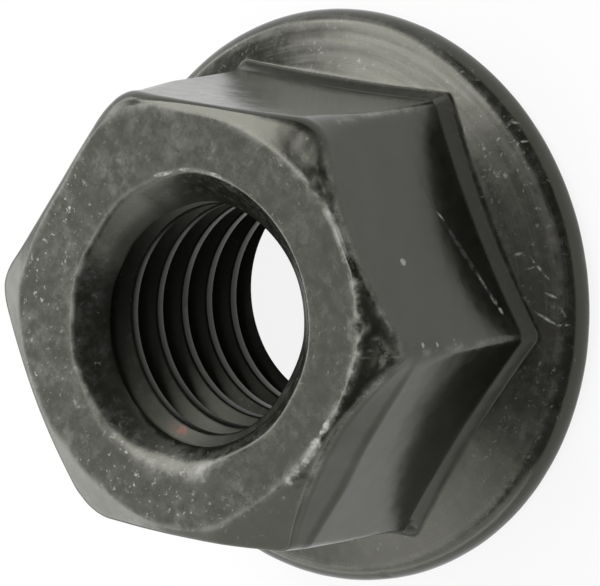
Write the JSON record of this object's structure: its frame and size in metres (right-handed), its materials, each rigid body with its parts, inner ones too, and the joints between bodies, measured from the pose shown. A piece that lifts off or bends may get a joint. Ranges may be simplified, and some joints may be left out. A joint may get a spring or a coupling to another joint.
{
  "type": "hexagon flange lock nut",
  "caption": "Hexagon nut with a round flange and a metric threaded bore; opposite flats are pressed in at the top so that the thread grips its bolt.",
  "frame": {"origin": "centre of the bearing face, on the bore axis", "axes": "+Z along the bore from the bearing face to the top face; two corners of the hexagon lie on the X axis and the pressed flats face +Y and -Y"},
  "size_m": [0.0176, 0.0176, 0.0086],
  "materials": {
    "black_steel": "black oxide, semi-gloss, dusty and scuffed along the edges"
  },
  "bodies": {
    "root": {"flange_nut": "black_steel"}
  },
  "joints": []
}
